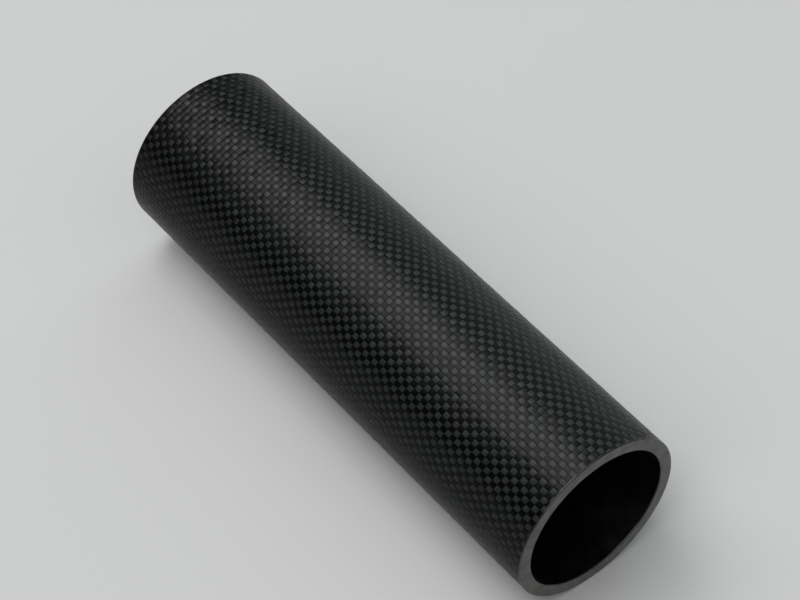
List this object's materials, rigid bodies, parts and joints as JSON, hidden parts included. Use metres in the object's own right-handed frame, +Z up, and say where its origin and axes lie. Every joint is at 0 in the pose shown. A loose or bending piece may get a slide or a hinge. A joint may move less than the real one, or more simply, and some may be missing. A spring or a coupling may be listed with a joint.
{
  "type": "carbon fibre tube",
  "caption": "Straight round tube of woven carbon fibre laminate with a thick wall, a smooth through bore and square sawn ends.",
  "frame": {"origin": "on the tube's axis, halfway along its length", "axes": "+X along the tube's axis towards the end that faces the camera, +Z up as the tube lies on the floor"},
  "size_m": [0.2, 0.06, 0.06],
  "materials": {
    "carbon_laminate": "satin woven carbon fibre in clear resin, plain weave"
  },
  "bodies": {
    "root": {"tube": "carbon_laminate"}
  },
  "joints": []
}
